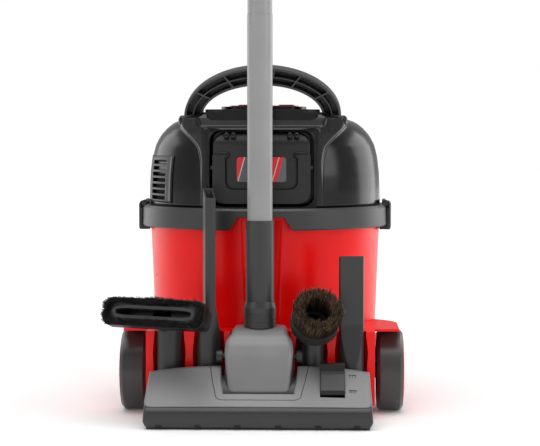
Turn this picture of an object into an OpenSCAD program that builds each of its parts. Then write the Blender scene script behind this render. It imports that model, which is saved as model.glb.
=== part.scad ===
// Tub vacuum cleaner with a floor tool, a wand section and four hand tools parked in its rear dock.
// X is to the right seen from behind, +Y is the way the machine travels, Z = 0 is the floor.

/* [Tub] */
// Outer radius of the tub at its floor
tub_floor_r = 149; // [146:0.5:150]
// Outer radius of the tub at its rim
tub_rim_r = 156.8; // [155:0.2:157]
// Height of the tub's floor above the ground
tub_floor_z = 64; // [62:1:66]
// Height of the tub's rim
tub_rim_z = 258; // [256:0.5:258]
// Wall thickness of the moulded shells
wall = 3; // [2.5:0.5:3.5]

/* [Chassis] */
// Half width of the rear block between the wheels
block_half_w = 146; // [145:1:146]
// Y of the rear face of the block
block_rear_y = -192; // [-194:1:-190]
// Height of the platform and the mudguards
platform_z = 112; // [111:1:113]
// Half width over the mudguards
guard_half_w = 178; // [174:1:180]

/* [Wheels] */
// Radius of a rear wheel
wheel_r = 53; // [52:0.5:53.5]
// Width of a rear wheel
wheel_w = 34; // [30:1:34]
// Y of the rear axle
axle_y = -106; // [-108:1:-104]
// Radius of a castor wheel
castor_r = 19; // [18:0.5:19.5]

/* [Head] */
// Outer radius of the bumper band
band_r = 168; // [167:0.5:168]
// Bottom and top of the bumper band
band_z = [239, 267];
// Half width of the rear block of the head
saddle_half_w = 79; // [78:0.5:80]
// Y of the rear face of the head
head_rear_y = -141; // [-142:0.5:-140]
// Top of the deck plate
deck_z = 395; // [394:0.5:396]

/* [Handle] */
// Lean of the raised handle towards the rear, in degrees
handle_lean = 12; // [8:1:14]
// Half width of the handle, outside
handle_half_w = 103; // [102:0.5:104]
// Depth of the handle across its channel
handle_depth = 26; // [22:1:28]

/* [Wand and floor tool] */
// Outer radius of the wand tube
tube_r = 16; // [15.5:0.1:16]
// Y of the upright wand
wand_y = -200; // [-202:0.5:-199]
// Top of the wand section
wand_top_z = 554; // [520:1:600]
// Half width of the floor tool
floor_half_w = 142; // [138:1:146]
// Front and rear edges of the floor tool
floor_y = [-282, -212];

/* [Parked tools] */
// Y of the four parked tool necks
tool_y = -188; // [-189:0.5:-187]
// X of the inner and outer tool necks
tool_x = [65, 116];
// Outer radius of a tool neck
neck_r = 16; // [15.5:0.1:16.5]

/* [Hidden] */
$fn = 72;

// The frame's origin is on the floor, under the middle of the whole object's outline.
tub_axis_x = 7.6;
tub_axis_y = 49;

red = [0.82, 0.06, 0.07];
black = [0.08, 0.08, 0.085];
charcoal = [0.22, 0.22, 0.22];
mid_grey = [0.45, 0.45, 0.45];
tube_grey = [0.6, 0.6, 0.6];
steel = [0.75, 0.75, 0.77];

running = 0.06;      // radial clearance of a running fit
slip = 0.4;          // gap between mouldings that only lie against each other

function tub_r(z) = tub_floor_r + (tub_rim_r - tub_floor_r) * (z - tub_floor_z) / (tub_rim_z - tub_floor_z);
function arc(r, a0, a1, n) = [for (i = [0:n]) let (a = a0 + (a1 - a0) * i / n) r * [cos(a), sin(a)]];
function oval(a, b, a0, a1, n) = [for (i = [0:n]) let (t = a0 + (a1 - a0) * i / n) [a * cos(t), b * sin(t)]];

module place() translate([tub_axis_x, tub_axis_y, 0]) children();
module both_sides() {
  children();
  mirror([1, 0, 0]) children();
}
// A flat plate in X and Y with rounded corners, its middle at the origin.
module rounded(w, l, r) {
  square([w - 2 * r, l], center = true);
  square([w, l - 2 * r], center = true);
  for (x = [-1, 1]) for (y = [-1, 1]) translate([x * (w / 2 - r), y * (l / 2 - r)]) circle(r);
}
module rounded_slab(w, l, r, z0, z1) translate([0, 0, z0]) linear_extrude(z1 - z0) rounded(w, l, r);
// A slab that stands in the XZ plane, from y0 to y1, its middle at z.
module standing_slab(w, h, r, y0, y1, z) translate([0, y1, z]) rotate([90, 0, 0]) linear_extrude(y1 - y0)
  rounded(w, h, r);
module ring(r_out, r_in, z0, z1) translate([0, 0, z0]) difference() {
  cylinder(h = z1 - z0, r = r_out);
  translate([0, 0, -1]) cylinder(h = z1 - z0 + 2, r = r_in);
}
// A round bar along X from x0 to x1.
module bar_x(r, x0, x1) translate([x0, 0, 0]) rotate([0, 90, 0]) cylinder(h = x1 - x0, r = r);
// A round bar along Y from y0 to y1.
module bar_y(r, y0, y1) translate([0, y1, 0]) rotate([90, 0, 0]) cylinder(h = y1 - y0, r = r);
// A profile in Y and Z, drawn along X from x0 to x1.
module along_x(x0, x1) translate([x0, 0, 0]) rotate([90, 0, 90]) linear_extrude(x1 - x0) children();

// ---- Tub and what it holds ----

// Shallow upright channel down the tub's back, where the wand stands.
groove_y = -178;
groove_r = 34;
groove_top_z = 252;
inlet_z = 168;
inlet_hole_r = 28.5;

module tub_cone(inset, z0, z1) difference() {
  translate([0, 0, z0]) cylinder(h = z1 - z0, r1 = tub_r(z0) - inset, r2 = tub_r(z1) - inset, $fn = 120);
  translate([0, groove_y, z0 - 1])
    cylinder(h = min(z1 - z0 + 2, groove_top_z + inset - z0 + 1), r = groove_r + inset);
}
module tub() color(red) difference() {
  tub_cone(0, tub_floor_z, tub_rim_z);
  tub_cone(wall, tub_floor_z + wall, tub_rim_z + 1);
  translate([0, 0, inlet_z]) bar_y(inlet_hole_r, 120, 170);
}

// ---- Chassis ----

pan_r = 160;
pan_z = [46, 84];
block_floor_z = 18;
pocket_floor_z = 30;
peg_r = 11.5;
castor_pos = [84, 96];
castor_stem_r = 4;

// Wide plate over the tub's foot and the rear wheels, seen from above.
module platform_plan() {
  translate([-block_half_w, block_rear_y]) square([2 * block_half_w, -block_rear_y - 30]);
  both_sides() {
    translate([guard_half_w - 62, -84]) circle(62);
    translate([100, -158]) square([guard_half_w - 100, 76]);
  }
}
// A tool pocket is a barrel, wider half way down.
module tool_pocket() rotate_extrude()
  polygon([[0, pocket_floor_z], [19.5, pocket_floor_z], [20, 60], [21.3, 86], [19, 108], [19, platform_z + 1],
           [0, platform_z + 1]]);
module tool_peg() translate([0, 0, pocket_floor_z - 2]) cylinder(h = 46, r1 = peg_r, r2 = peg_r - 0.8);

module chassis() color(red) {
  difference() {
    union() {
      translate([0, 0, pan_z[0]]) cylinder(h = pan_z[1] - pan_z[0], r = pan_r, $fn = 120);
      translate([-block_half_w, block_rear_y, block_floor_z])
        cube([2 * block_half_w, -block_rear_y - 40, platform_z - 3 - block_floor_z]);
      translate([0, 0, platform_z - 3]) linear_extrude(3) platform_plan();
    }
    tub_cone(-slip, tub_floor_z, tub_floor_z + 60);
    // hollow under the pan's floor
    translate([0, 0, pan_z[0] - 1]) cylinder(h = 15, r = pan_r - 4, $fn = 120);
    translate([-block_half_w + 8, -158, block_floor_z - 1]) cube([2 * block_half_w - 16, 130, 43]);
    for (x = [-tool_x[1], -tool_x[0], tool_x[0], tool_x[1]]) translate([x, tool_y, 0]) tool_pocket();
    // space for the wand's knuckle
    translate([-38, block_rear_y - 1, block_floor_z - 1]) cube([76, 16, 100]);
    translate([0, axle_y, wheel_r]) bar_x(5, -160, 160);
    // arches over the wheels
    both_sides() translate([0, axle_y, wheel_r]) bar_x(wheel_r + 3, block_half_w, 200);
  }
  for (x = [-tool_x[1], -tool_x[0], tool_x[0], tool_x[1]]) translate([x, tool_y, 0]) tool_peg();
  both_sides() translate([castor_pos[0], castor_pos[1], 0]) ring(10, castor_stem_r + running, pan_z[0], 61);
}

module rear_axle() color(steel) translate([0, axle_y, wheel_r]) bar_x(5, -181, 181);

// ---- Rear wheels: a soft tyre moulding with a red cap over the axle's end ----

wheel_x = 150;
wheel_out = wheel_x + wheel_w;
module tyre_profile() polygon([
  [5 + running, wheel_x - 3.5], [11, wheel_x - 3.5], [11, wheel_x + 10], [43, wheel_x + 10], [43, wheel_x],
  [wheel_r - 4, wheel_x], [wheel_r, wheel_x + 4], [wheel_r, wheel_out - 4], [wheel_r - 4, wheel_out],
  [46, wheel_out], [46, wheel_out - 5], [12, wheel_out - 5], [12, wheel_out - 2.6], [5 + running, wheel_out - 2.6]]);
module tyre() translate([0, axle_y, wheel_r]) rotate([0, 90, 0]) rotate_extrude($fn = 120) tyre_profile();
module wheel_cap() translate([0, axle_y, wheel_r]) rotate([0, 90, 0]) rotate_extrude($fn = 120)
  polygon([[0, wheel_out - 1.9], [12.6, wheel_out - 1.9], [12.6, wheel_out - 4.6], [45.4, wheel_out - 4.6],
           [45.4, wheel_out + 0.4], [40, wheel_out + 1.4], [20, wheel_out + 2.2], [0, wheel_out + 2.4]]);
module tyre_right() color(charcoal) tyre();
module tyre_left() color(charcoal) mirror([1, 0, 0]) tyre();
module wheel_cap_right() color(red) wheel_cap();
module wheel_cap_left() color(red) mirror([1, 0, 0]) wheel_cap();

// ---- Front castors ----

castor_trail = 15;
castor_gap = 8.6;
module castor_fork() translate([castor_pos[0], castor_pos[1], 0]) {
  difference() {
    union() {
      translate([0, 0, 40]) cylinder(h = 4, r = 15);
      translate([0, 0, 40]) cylinder(h = 19, r = castor_stem_r);
      both_sides() along_x(castor_gap, castor_gap + 3) {
        translate([-castor_trail, castor_r]) circle(6);
        polygon([[-castor_trail - 6, castor_r], [-castor_trail + 6, castor_r], [11, 41], [-12, 41]]);
      }
    }
    translate([0, -castor_trail, castor_r]) bar_x(2.5, -20, 20);
  }
  translate([0, -castor_trail, castor_r]) bar_x(2.44, -castor_gap - 3.4, castor_gap + 3.4);
}
module castor_wheel() translate([castor_pos[0], castor_pos[1] - castor_trail, castor_r]) rotate([0, 90, 0])
  rotate_extrude() polygon([[2.5, -8], [castor_r - 2, -8], [castor_r, -6], [castor_r, 6], [castor_r - 2, 8], [2.5, 8]]);
module castor_fork_right() color(black) castor_fork();
module castor_fork_left() color(black) mirror([1, 0, 0]) castor_fork();
module castor_wheel_right() color(charcoal) castor_wheel();
module castor_wheel_left() color(charcoal) mirror([1, 0, 0]) castor_wheel();

// ---- Hose inlet, dust bag and filter ----

inlet_bore_r = 19;
module inlet_collar() color(black) difference() {
  union() {
    difference() {
      translate([0, 0, inlet_z]) bar_y(38, 140, 163);
      tub_cone(-0.2, 120, 216);
    }
    translate([0, 0, inlet_z]) {
      bar_y(28, 127.4, 163);
      bar_y(27, 163, 184);
      bar_y(30, 177, 184);
    }
  }
  translate([0, 0, inlet_z]) bar_y(inlet_bore_r, 126, 185);
}
module bag_collar() color([0.8, 0.72, 0.55]) translate([0, 0, inlet_z])
  difference() {
    standing_slab(84, 96, 8, 124, 127, 0);
    bar_y(22, 123, 128);
  }
module dust_bag() color([0.92, 0.9, 0.86]) standing_slab(150, 120, 20, 98, 123.7, 136);
filter_r = 139;
module filter_ring() color(charcoal) {
  ring(156.2, filter_r, tub_rim_z + 0.1, tub_rim_z + 1.9);
  ring(tub_r(tub_rim_z) - wall - 4, filter_r, tub_rim_z - 2.6, tub_rim_z + 1);
}
module filter_cloth() color([0.85, 0.85, 0.8]) difference() {
  translate([0, 0, 204]) cylinder(h = 52, r1 = 100, r2 = 138.6);
  translate([0, 0, 206]) cylinder(h = 51, r1 = 98.5, r2 = 137.1);
}

// ---- Head ----

dome = [[157, 267], [156.6, 290], [155.6, 310], [153, 332], [149, 348], [142, 361], [132, 372], [119, 381],
        [95, 386], [0, 388]];
bay_half_w = 67;
bay_z = [269.5, 367.5];
saddle_top_z = 371;
handle_pivot = [0, -90, 380];
leg_mid_x = 91;

module dome_solid(inset, z0) rotate_extrude($fn = 120) polygon(concat([[0, z0], [dome[0][0] - inset, z0]],
  [for (p = dome) [max(0, p[0] - inset), p[1] - inset * (p[1] > 372 ? 1 : 0)]]));
// Shoulders of the rear block flare out below the handle: a front, a side and a plan outline together.
shoulder_side = [[79, 300], [79, 330], [82.5, 345], [90, 356], [100, 368], [112, 379], [112, 384]];
module shoulders(inset) {
  k = inset * 0.9;
  intersection() {
    translate([0, 40, 0]) rotate([90, 0, 0]) linear_extrude(200) polygon(concat(
      [for (p = shoulder_side) p - [inset, k * (p[1] > 370 ? 1 : 0)]],
      [for (i = [6:-1:0]) [inset - shoulder_side[i][0], shoulder_side[i][1] - k * (i > 4 ? 1 : 0)]]));
    along_x(-130, 130) polygon([[head_rear_y + inset, 300], [head_rear_y + inset, 371 - inset],
      [-128, 372 - inset], [-97, 384 - inset], [12 - inset, 384 - inset], [30 - inset, 300]]);
    translate([0, 0, 300]) linear_extrude(90) polygon([[75 - inset, head_rear_y + inset], [79 - inset, -136 + k],
      [112 - inset, -96 + k], [112 - inset, 12 - k], [inset - 112, 12 - k], [inset - 112, -96 + k],
      [inset - 79, -136 + k], [inset - 75, head_rear_y + inset]]);
  }
}
module rear_block(inset, z0) translate([0, 0, z0]) linear_extrude(saddle_top_z - inset - z0)
  translate([0, -95]) rounded(2 * (saddle_half_w - inset), 2 * (-head_rear_y - 95 - inset), 12);
// Everything the head encloses; its back is cut flat.
module head_form(inset, z0) difference() {
  union() {
    dome_solid(inset, z0);
    rear_block(inset, z0);
    shoulders(inset);
  }
  translate([-100, head_rear_y + inset - 60, z0 - 1]) cube([200, 60, 200]);
}
// Room for the handle's legs as they swing back.
leg_swing = 52;
module handle_pockets() both_sides() along_x(leg_mid_x - 13.5, leg_mid_x + 13.5)
  translate([handle_pivot[1], handle_pivot[2]]) polygon(concat([[18, 60], [18, 2], [15, 0]],
    [for (i = [1:8]) 15 * [cos(-16 * i), sin(-16 * i)]],
    [15 * [-cos(leg_swing), -sin(leg_swing)] + 40 * [-sin(leg_swing), cos(leg_swing)], [-41, 60]]));

module head_shell() color(black) difference() {
  union() {
    difference() {
      head_form(0, 267);
      head_form(wall, 262);
    }
    // walls of the battery bay and of the handle's pockets
    intersection() {
      union() {
        translate([-bay_half_w - 3, -150, bay_z[0] - 2.5])
          cube([2 * bay_half_w + 6, 91, bay_z[1] - bay_z[0] + 5.3]);
        both_sides() translate([leg_mid_x - 17, handle_pivot[1] - 34, handle_pivot[2] - 18]) cube([34, 52, 40]);
      }
      head_form(0.5, 267);
    }
  }
  standing_slab(2 * bay_half_w, bay_z[1] - bay_z[0], 14, head_rear_y - 2, -61, (bay_z[0] + bay_z[1]) / 2);
  handle_pockets();
  both_sides() translate([0, handle_pivot[1], handle_pivot[2]]) bar_x(4, 68, 111);
  // window behind the exhaust grille
  exhaust_sector(140, 170, grille_z[0] + 3, grille_z[1] - 3, 2);
  // openings under the deck plate and for its apron
  translate([0, deck_mid_y, 380]) linear_extrude(30) rounded(2 * deck_half_w - 20, deck_l - 20, 16);
  translate([-74, -150, saddle_top_z + 0.2]) cube([148, 36.1, 40]);
  for (x = contact_x) translate([x - 2.2, -62.7, 305.8]) cube([4.4, 12.4, 22.4]);
}

deck_half_w = 75;
deck_mid_y = -16;
deck_l = 224;
button_x = 28;
button_y = 66;
button_r = 11;
module top_plate() color(charcoal) difference() {
  union() {
    translate([0, deck_mid_y, 388.4]) linear_extrude(deck_z - 388.4) rounded(2 * deck_half_w, deck_l, 24);
    translate([0, deck_mid_y + 6, deck_z - 1]) linear_extrude(5) rounded(112, 170, 30);
    // apron over the battery bay
    translate([0, -115, 371.6]) rotate([90, 0, 0]) linear_extrude(13)
      polygon([[-60, 0], [60, 0], [73, 18], [73, 20], [-73, 20], [-73, 18]]);
  }
  for (x = [-1, 1]) translate([x * button_x, button_y - 14, 380]) cylinder(h = 30, r = button_r + 0.4);
  translate([0, 18, deck_z + 2.6]) linear_extrude(5) rounded(60.6, 12.6, 6);
}
module gauge_lens() color([0.2, 0.5, 0.3, 0.6]) translate([0, 18, deck_z + 2.6]) linear_extrude(1.9) rounded(60, 12, 5.8);
module button(x) translate([x, button_y - 14, 388]) cylinder(h = deck_z + 8 - 388, r = button_r);
module power_button() color(red) button(-button_x);
module boost_button() color(mid_grey) button(button_x);

// Red plates on the deck and on the front of the dome, with no lettering.
module badges() color(red) {
  translate([0, -38, deck_z + 4]) linear_extrude(1.6) rounded(92, 52, 18);
  difference() {
    rotate([0, 0, 68]) rotate_extrude(angle = 44, $fn = 120)
      polygon([[156.4, 300], [158.4, 300], [157, 322], [153.6, 340], [151.6, 340], [155, 322]]);
    dome_solid(-0.2, 200);
  }
}

// Louvred outlet on the left of the head, from the rear corner round the side.
grille_z = [271, 334];
grille_deg = [174, 221.5];
module exhaust_sector(r0, r1, z0, z1, trim) translate([0, 0, z0]) linear_extrude(z1 - z0)
  polygon(concat(arc(r0, grille_deg[0] + trim, grille_deg[1] - trim, 12),
                 arc(r1, grille_deg[1] - trim, grille_deg[0] + trim, 12)));
module exhaust_grille() color(charcoal) difference() {
  intersection() {
    exhaust_sector(120, 175, grille_z[0], grille_z[1], 0);
    dome_solid(-1.2, 260);
  }
  dome_solid(-0.1, 260);
  for (i = [0:6]) for (c = [0, 1]) translate([0, 0, grille_z[0] + 4.5 + 7.9 * i])
    linear_extrude(5) polygon(concat([[0, 0]], arc(175, 178 + 21 * c, 195 + 21 * c, 4)));
}
module exhaust_filter() color([0.9, 0.9, 0.88]) exhaust_sector(143, 150, grille_z[0] + 4, grille_z[1] - 8, 4);

clip_hinge = [163.4, 270.4];
module bumper_band() color(charcoal) difference() {
  union() {
    rotate_extrude($fn = 120) polygon([[158.4, band_z[0]], [band_r - 1, band_z[0]], [band_r, band_z[0] + 1.5],
      [band_r - 0.6, band_z[1] - 3], [band_r - 3, band_z[1]], [147, band_z[1]], [147, band_z[1] - 3.6],
      [158.4, band_z[1] - 3.6]]);
    both_sides() for (y = [-1, 1]) translate([clip_hinge[0], y * 24, clip_hinge[1]]) {
      bar_y(3, -3, 3);
      translate([-3, -3, -4.5]) cube([6, 6, 4.5]);
    }
  }
  translate([0, -150, 0]) rotate([90, 0, 0]) linear_extrude(40)
    polygon([[-41, band_z[0] - 1], [41, band_z[0] - 1], [30, 256], [-30, 256]]);
  both_sides() translate([clip_hinge[0], 0, clip_hinge[1]]) bar_y(1.5, -40, 40);
}

clip_deg = 9.5;
module clip() {
  difference() {
    union() {
      rotate([0, 0, -clip_deg]) rotate_extrude(angle = 2 * clip_deg, $fn = 120) polygon([
        [157.6, 233.4], [171.4, 233.4], [172.6, 236], [172.6, 267.5], [170.5, 271], [clip_hinge[0] + 1, 272.6],
        [clip_hinge[0] + 1, 268], [band_r + 0.3, 267.4], [band_r + 0.3, 238.6], [158.6, 237.6]]);
      translate([clip_hinge[0], 0, clip_hinge[1]]) bar_y(2.7, -20, 20);
    }
    translate([clip_hinge[0], 0, clip_hinge[1]]) bar_y(1.5, -40, 40);
    // room for the band's lugs
    for (y = [-26.5, 26.5]) translate([clip_hinge[0] - 5, y - 6.1, 262]) cube([10, 12.2, 20]);
  }
}
module clip_right() color(black) clip();
module clip_left() color(black) mirror([1, 0, 0]) clip();

module hinge_pins() color(steel) both_sides() {
  translate([0, handle_pivot[1], handle_pivot[2]]) bar_x(3.94, 70.5, 110);
  translate([clip_hinge[0], 0, clip_hinge[1]]) bar_y(1.44, -27, 27);
}

// ---- Handle: an oval arch with a ribbed channel open to the rear ----

grip = 23;
function arch(a, b, n) = [for (p = oval(a, b, 0, 180, n)) p + [0, 8]];
module handle_plan(shrink) difference() {
  union() {
    polygon(arch(handle_half_w - shrink, 65 - shrink, 48));
    both_sides() translate([leg_mid_x - 12 + shrink, -1]) square([24 - 2 * shrink, 10]);
  }
  polygon(concat(arch(handle_half_w - 24 + shrink, 42 + shrink, 48), [[-79 - shrink, -5], [79 + shrink, -5]]));
}
module handle() color(charcoal) translate(handle_pivot) rotate([handle_lean, 0, 0]) difference() {
  union() {
    rotate([90, 0, 0]) translate([0, 0, -handle_depth / 2]) linear_extrude(handle_depth) handle_plan(0);
    both_sides() bar_x(13, leg_mid_x - 12, leg_mid_x + 12);
  }
  // channel, with ribs left across it
  rotate([90, 0, 0]) translate([0, 0, -handle_depth / 2 + 4]) linear_extrude(handle_depth) difference() {
    intersection() {
      handle_plan(3);
      translate([-120, 10]) square([240, 80]);
    }
    for (a = [25:26:155]) rotate(a) translate([60, -1]) square([60, 2]);
    difference() {
      polygon(arch(handle_half_w - 11.2, 65 - 11.2, 48));
      polygon(arch(handle_half_w - 12.8, 65 - 12.8, 48));
    }
  }
  bar_x(4, -110, 110);
}

// ---- Motor, fan and electronics inside the head ----

motor_y = 36;
motor_r = 60;
module motor_plate() color(black) difference() {
  translate([0, 0, 260.2]) cylinder(h = 2.8, r = 154, $fn = 120);
  translate([0, motor_y, 259]) cylinder(h = 6, r = 28);
}
module motor_housing() color(mid_grey) translate([0, motor_y, 0]) difference() {
  translate([0, 0, 263.4]) cylinder(h = 92, r = motor_r);
  translate([0, 0, 266.4]) cylinder(h = 86, r = motor_r - 3);
  translate([0, 0, 262]) cylinder(h = 6, r = 26);
  for (a = [0:45:315]) rotate(a) translate([motor_r - 10, -7, 318]) cube([20, 14, 22]);
}
module motor_stator() color(steel) translate([0, motor_y, 0]) difference() {
  union() {
    translate([0, 0, 302]) cylinder(h = 34, r = 34);
    for (a = [0:120:240]) rotate(a) translate([30, -5, 312]) cube([26.6, 10, 8]);
  }
  translate([0, 0, 300]) cylinder(h = 40, r = 4 + running);
}
module fan_impeller() color(tube_grey) translate([0, motor_y, 0]) difference() {
  union() {
    translate([0, 0, 272]) cylinder(h = 2, r = 50);
    translate([0, 0, 286]) cylinder(h = 2, r = 50);
    translate([0, 0, 272]) cylinder(h = 20, r = 9);
    for (i = [0:6]) rotate(i * 360 / 7) translate([12, 0, 273]) rotate([0, 0, 35]) cube([32, 1.6, 14]);
  }
  translate([0, 0, 270]) cylinder(h = 4.5, r = 20);
  translate([0, 0, 270]) cylinder(h = 30, r = 4);
}
module fan_shaft() color(steel) translate([0, motor_y, 276]) cylinder(h = 70, r = 4);
module control_board() color([0.1, 0.35, 0.18]) {
  translate([-42, 8, 362]) cube([84, 62, 1.6]);
  translate([-34, 16, 363.6]) cube([22, 14, 6]);
  translate([6, 40, 363.6]) cylinder(h = 14, r = 7);
  translate([26, 40, 363.6]) cylinder(h = 14, r = 7);
}
contact_x = [-24, -8, 8, 24];
module battery_contacts() color(steel) for (x = contact_x) translate([x - 2, -62.5, 306]) cube([4, 12, 22]);
module head_screws() color(steel) for (a = [45:90:315]) rotate(a) translate([120, 0, 0]) {
  translate([0, 0, 257.6]) cylinder(h = 2.5, r = 4);
  translate([0, 0, 259.8]) cylinder(h = 0.4, r = 2);
}

// ---- Battery pack with its swinging bail ----

pack_half_w = 63.5;
pack_z = [272.5, 365];
bail_y = [-145, -135.6];
bail_pivot = [0, -138.6, 319];
bail_in_half_w = 47;
bail_top_z = 336;
module pack_outline(grow) translate([0, (pack_z[0] + pack_z[1]) / 2])
  rounded(2 * (pack_half_w + grow), pack_z[1] - pack_z[0] + 2 * grow, 18);
module battery_case() color(black)
  standing_slab(2 * pack_half_w, pack_z[1] - pack_z[0], 10, -125.9, -64, (pack_z[0] + pack_z[1]) / 2);
// The bail is a U whose two legs end in thumb pads; grow leaves room round it.
module bail_plan(grow) difference() {
  intersection() {
    pack_outline(grow);
    translate([-100, pack_z[0] - 5]) square([200, bail_top_z - pack_z[0] + 5 + grow]);
  }
  translate([0, 347]) rounded(2 * (bail_in_half_w - grow), 2 * (347 - 291 - grow), 10);
}
module battery_face() color(black) {
  difference() {
    translate([0, -126, 0]) rotate([90, 0, 0]) linear_extrude(15) pack_outline(0);
    translate([0, -135.2, 0]) rotate([90, 0, 0]) linear_extrude(20) bail_plan(1.2);
    both_sides() translate([bail_in_half_w - 1.2, -150, 306]) cube([30, 22.5, 34]);
  }
  translate(bail_pivot) both_sides() bar_x(2, 45, 56);
}
module battery_label() color(red) standing_slab(64, 32, 4, -142.4, -141.1, 317);
module battery_bail() color(black) difference() {
  union() {
    translate([0, bail_y[1], 0]) rotate([90, 0, 0]) linear_extrude(bail_y[1] - bail_y[0]) bail_plan(0);
    translate(bail_pivot) both_sides() bar_x(3, pack_half_w - 3, pack_half_w + 2.6);
  }
  translate(bail_pivot) bar_x(2 + running, -57, 57);
}

// ---- Crevice tools: round neck blending into a flat blade with a slanted mouth ----

neck_z = pocket_floor_z + 0.3;
neck_wall = 2.5;
neck_bore_r = neck_r - neck_wall;
module crevice_body(top, flare_z, blade_t, inset) intersection() {
  translate([0, 0, neck_z - inset]) cylinder(h = top - neck_z + 2 * inset, r = neck_r - inset);
  along_x(-30, 30) polygon([
    [-20, neck_z - 9], [20, neck_z - 9], [16.1 - inset, flare_z], [blade_t / 2 - inset, flare_z + 55],
    [blade_t / 2 - inset, top + 9], [inset - blade_t / 2, top + 9], [inset - blade_t / 2, flare_z + 55],
    [inset - 16.1, flare_z]]);
}
module crevice_tool(top, flare_z, blade_t) difference() {
  crevice_body(top, flare_z, blade_t, 0);
  crevice_body(top, flare_z, blade_t, 2);
}
module mouth_cut(z, tilt) translate([0, 0, z]) rotate(tilt) translate([-40, -40, 0]) cube([80, 80, 40]);
module crevice_tool_long() color(charcoal) translate([-tool_x[0], tool_y, 0]) rotate([0, 0, 100]) difference() {
  crevice_tool(296, 92, 13);
  mouth_cut(288, [0, -20.5, 0]);
}
module crevice_tool_short() color(charcoal) translate([tool_x[1], tool_y, 0]) rotate([0, 0, 4]) difference() {
  crevice_tool(210, 66, 14);
  mouth_cut(206, [-22, 0, 0]);
}

// ---- Round dusting brush on an elbow ----

elbow_z = 110;
brush_yaw = 12;
brush_lift = 38;
module at_elbow(x, yaw, lift, z = elbow_z) translate([x, tool_y, z]) rotate([0, 0, yaw]) rotate([90 - lift, 0, 0]) children();
module tool_neck(x, z = elbow_z) translate([x, tool_y, neck_z]) cylinder(h = z - neck_z, r = neck_r);
module neck_bore(x, z = elbow_z) translate([x, tool_y, neck_z - 1]) cylinder(h = z - neck_z + 1, r = neck_bore_r);
cup_r = 31;
module dusting_brush() color(charcoal) difference() {
  union() {
    tool_neck(tool_x[0]);
    translate([tool_x[0], tool_y, elbow_z]) sphere(neck_r + 0.5);
    at_elbow(tool_x[0], brush_yaw, brush_lift) {
      cylinder(h = 14, r = neck_r);
      translate([0, 0, 6]) cylinder(h = 14, r1 = neck_r, r2 = cup_r);
      translate([0, 0, 20]) cylinder(h = 14, r = cup_r);
    }
  }
  neck_bore(tool_x[0]);
  translate([tool_x[0], tool_y, elbow_z]) sphere(neck_bore_r + 0.5);
  at_elbow(tool_x[0], brush_yaw, brush_lift) {
    cylinder(h = 60, r = neck_bore_r);
    translate([0, 0, 24]) cylinder(h = 30, r = cup_r - 2);
  }
}
module dusting_bristles() color([0.25, 0.2, 0.14]) at_elbow(tool_x[0], brush_yaw, brush_lift)
  rotate_extrude() polygon([[17, 24.2], [cup_r - 2.3, 24.2], [cup_r - 2.3, 34.2], [cup_r, 62.2], [17, 62.2]]);

// ---- Wide nozzle with a slide-on brush ----

nozzle_yaw = -25;
nozzle_lift = 20;
nozzle_z = 124;
nozzle_w = 138;
nozzle_h = 30;
nozzle_reach = 17;
module at_nozzle() at_elbow(-tool_x[1], nozzle_yaw, nozzle_lift, nozzle_z) children();
module upholstery_nozzle() color(charcoal) difference() {
  union() {
    tool_neck(-tool_x[1], nozzle_z);
    translate([-tool_x[1], tool_y, nozzle_z]) sphere(neck_r + 0.5);
    at_nozzle() {
      cylinder(h = nozzle_reach + 4, r = neck_r);
      translate([0, 0, nozzle_reach]) linear_extrude(25) rounded(nozzle_w, nozzle_h, 8);
    }
  }
  neck_bore(-tool_x[1], nozzle_z);
  translate([-tool_x[1], tool_y, nozzle_z]) sphere(neck_bore_r + 0.5);
  at_nozzle() {
    cylinder(h = nozzle_reach + 6, r = neck_bore_r);
    translate([0, 0, nozzle_reach + 4]) linear_extrude(30) rounded(nozzle_w - 20, 13, 3);
  }
}
module slide_brush_frame() color(black) at_nozzle() translate([0, 0, nozzle_reach + 14]) difference() {
  linear_extrude(13) rounded(nozzle_w + 6.6, nozzle_h + 6.6, 11);
  translate([0, 0, -1]) linear_extrude(12.4) rounded(nozzle_w + 0.6, nozzle_h + 0.6, 8.3);
  translate([0, 0, -2]) linear_extrude(20) rounded(nozzle_w - 18, 15, 4);
}
module slide_brush_bristles() color([0.05, 0.05, 0.05]) at_nozzle() translate([0, 0, nozzle_reach + 27.2])
  difference() {
    linear_extrude(9) rounded(nozzle_w + 6, nozzle_h + 6, 11);
    translate([0, 0, -1]) linear_extrude(20) rounded(nozzle_w - 14, 19, 5);
  }

// ---- Floor tool ----

pivot = [0, -224, 26];
cut_half_w = 48;
pedal_x = [77, 107];
pedal_pivot = [-236, 50];
ridge = [-217, 72];
module hood_outline() polygon([[floor_y[1], 25.2], [floor_y[1], 60], ridge + [4, -2], ridge, ridge + [-6, -2],
  [-272, 32], [-279, 26.4], [-279, 25.2]]);
module floor_shell() color(mid_grey) {
  pedal_lugs();
  floor_skin();
}
module floor_skin() difference() {
  along_x(-floor_half_w + 2, floor_half_w - 2) hood_outline();
  along_x(-floor_half_w + 5, floor_half_w - 5)
    polygon([[floor_y[1] - 3, 20], [floor_y[1] - 3, 60], ridge + [-1, -5], [-270, 28.5], [-272, 20]]);
  translate([-cut_half_w, -263, 20]) cube([2 * cut_half_w, 60, 70]);
  translate([pedal_x[0] - 0.6, -262.5, 20]) cube([pedal_x[1] - pedal_x[0] + 1.2, 47, 70]);
}
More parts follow.
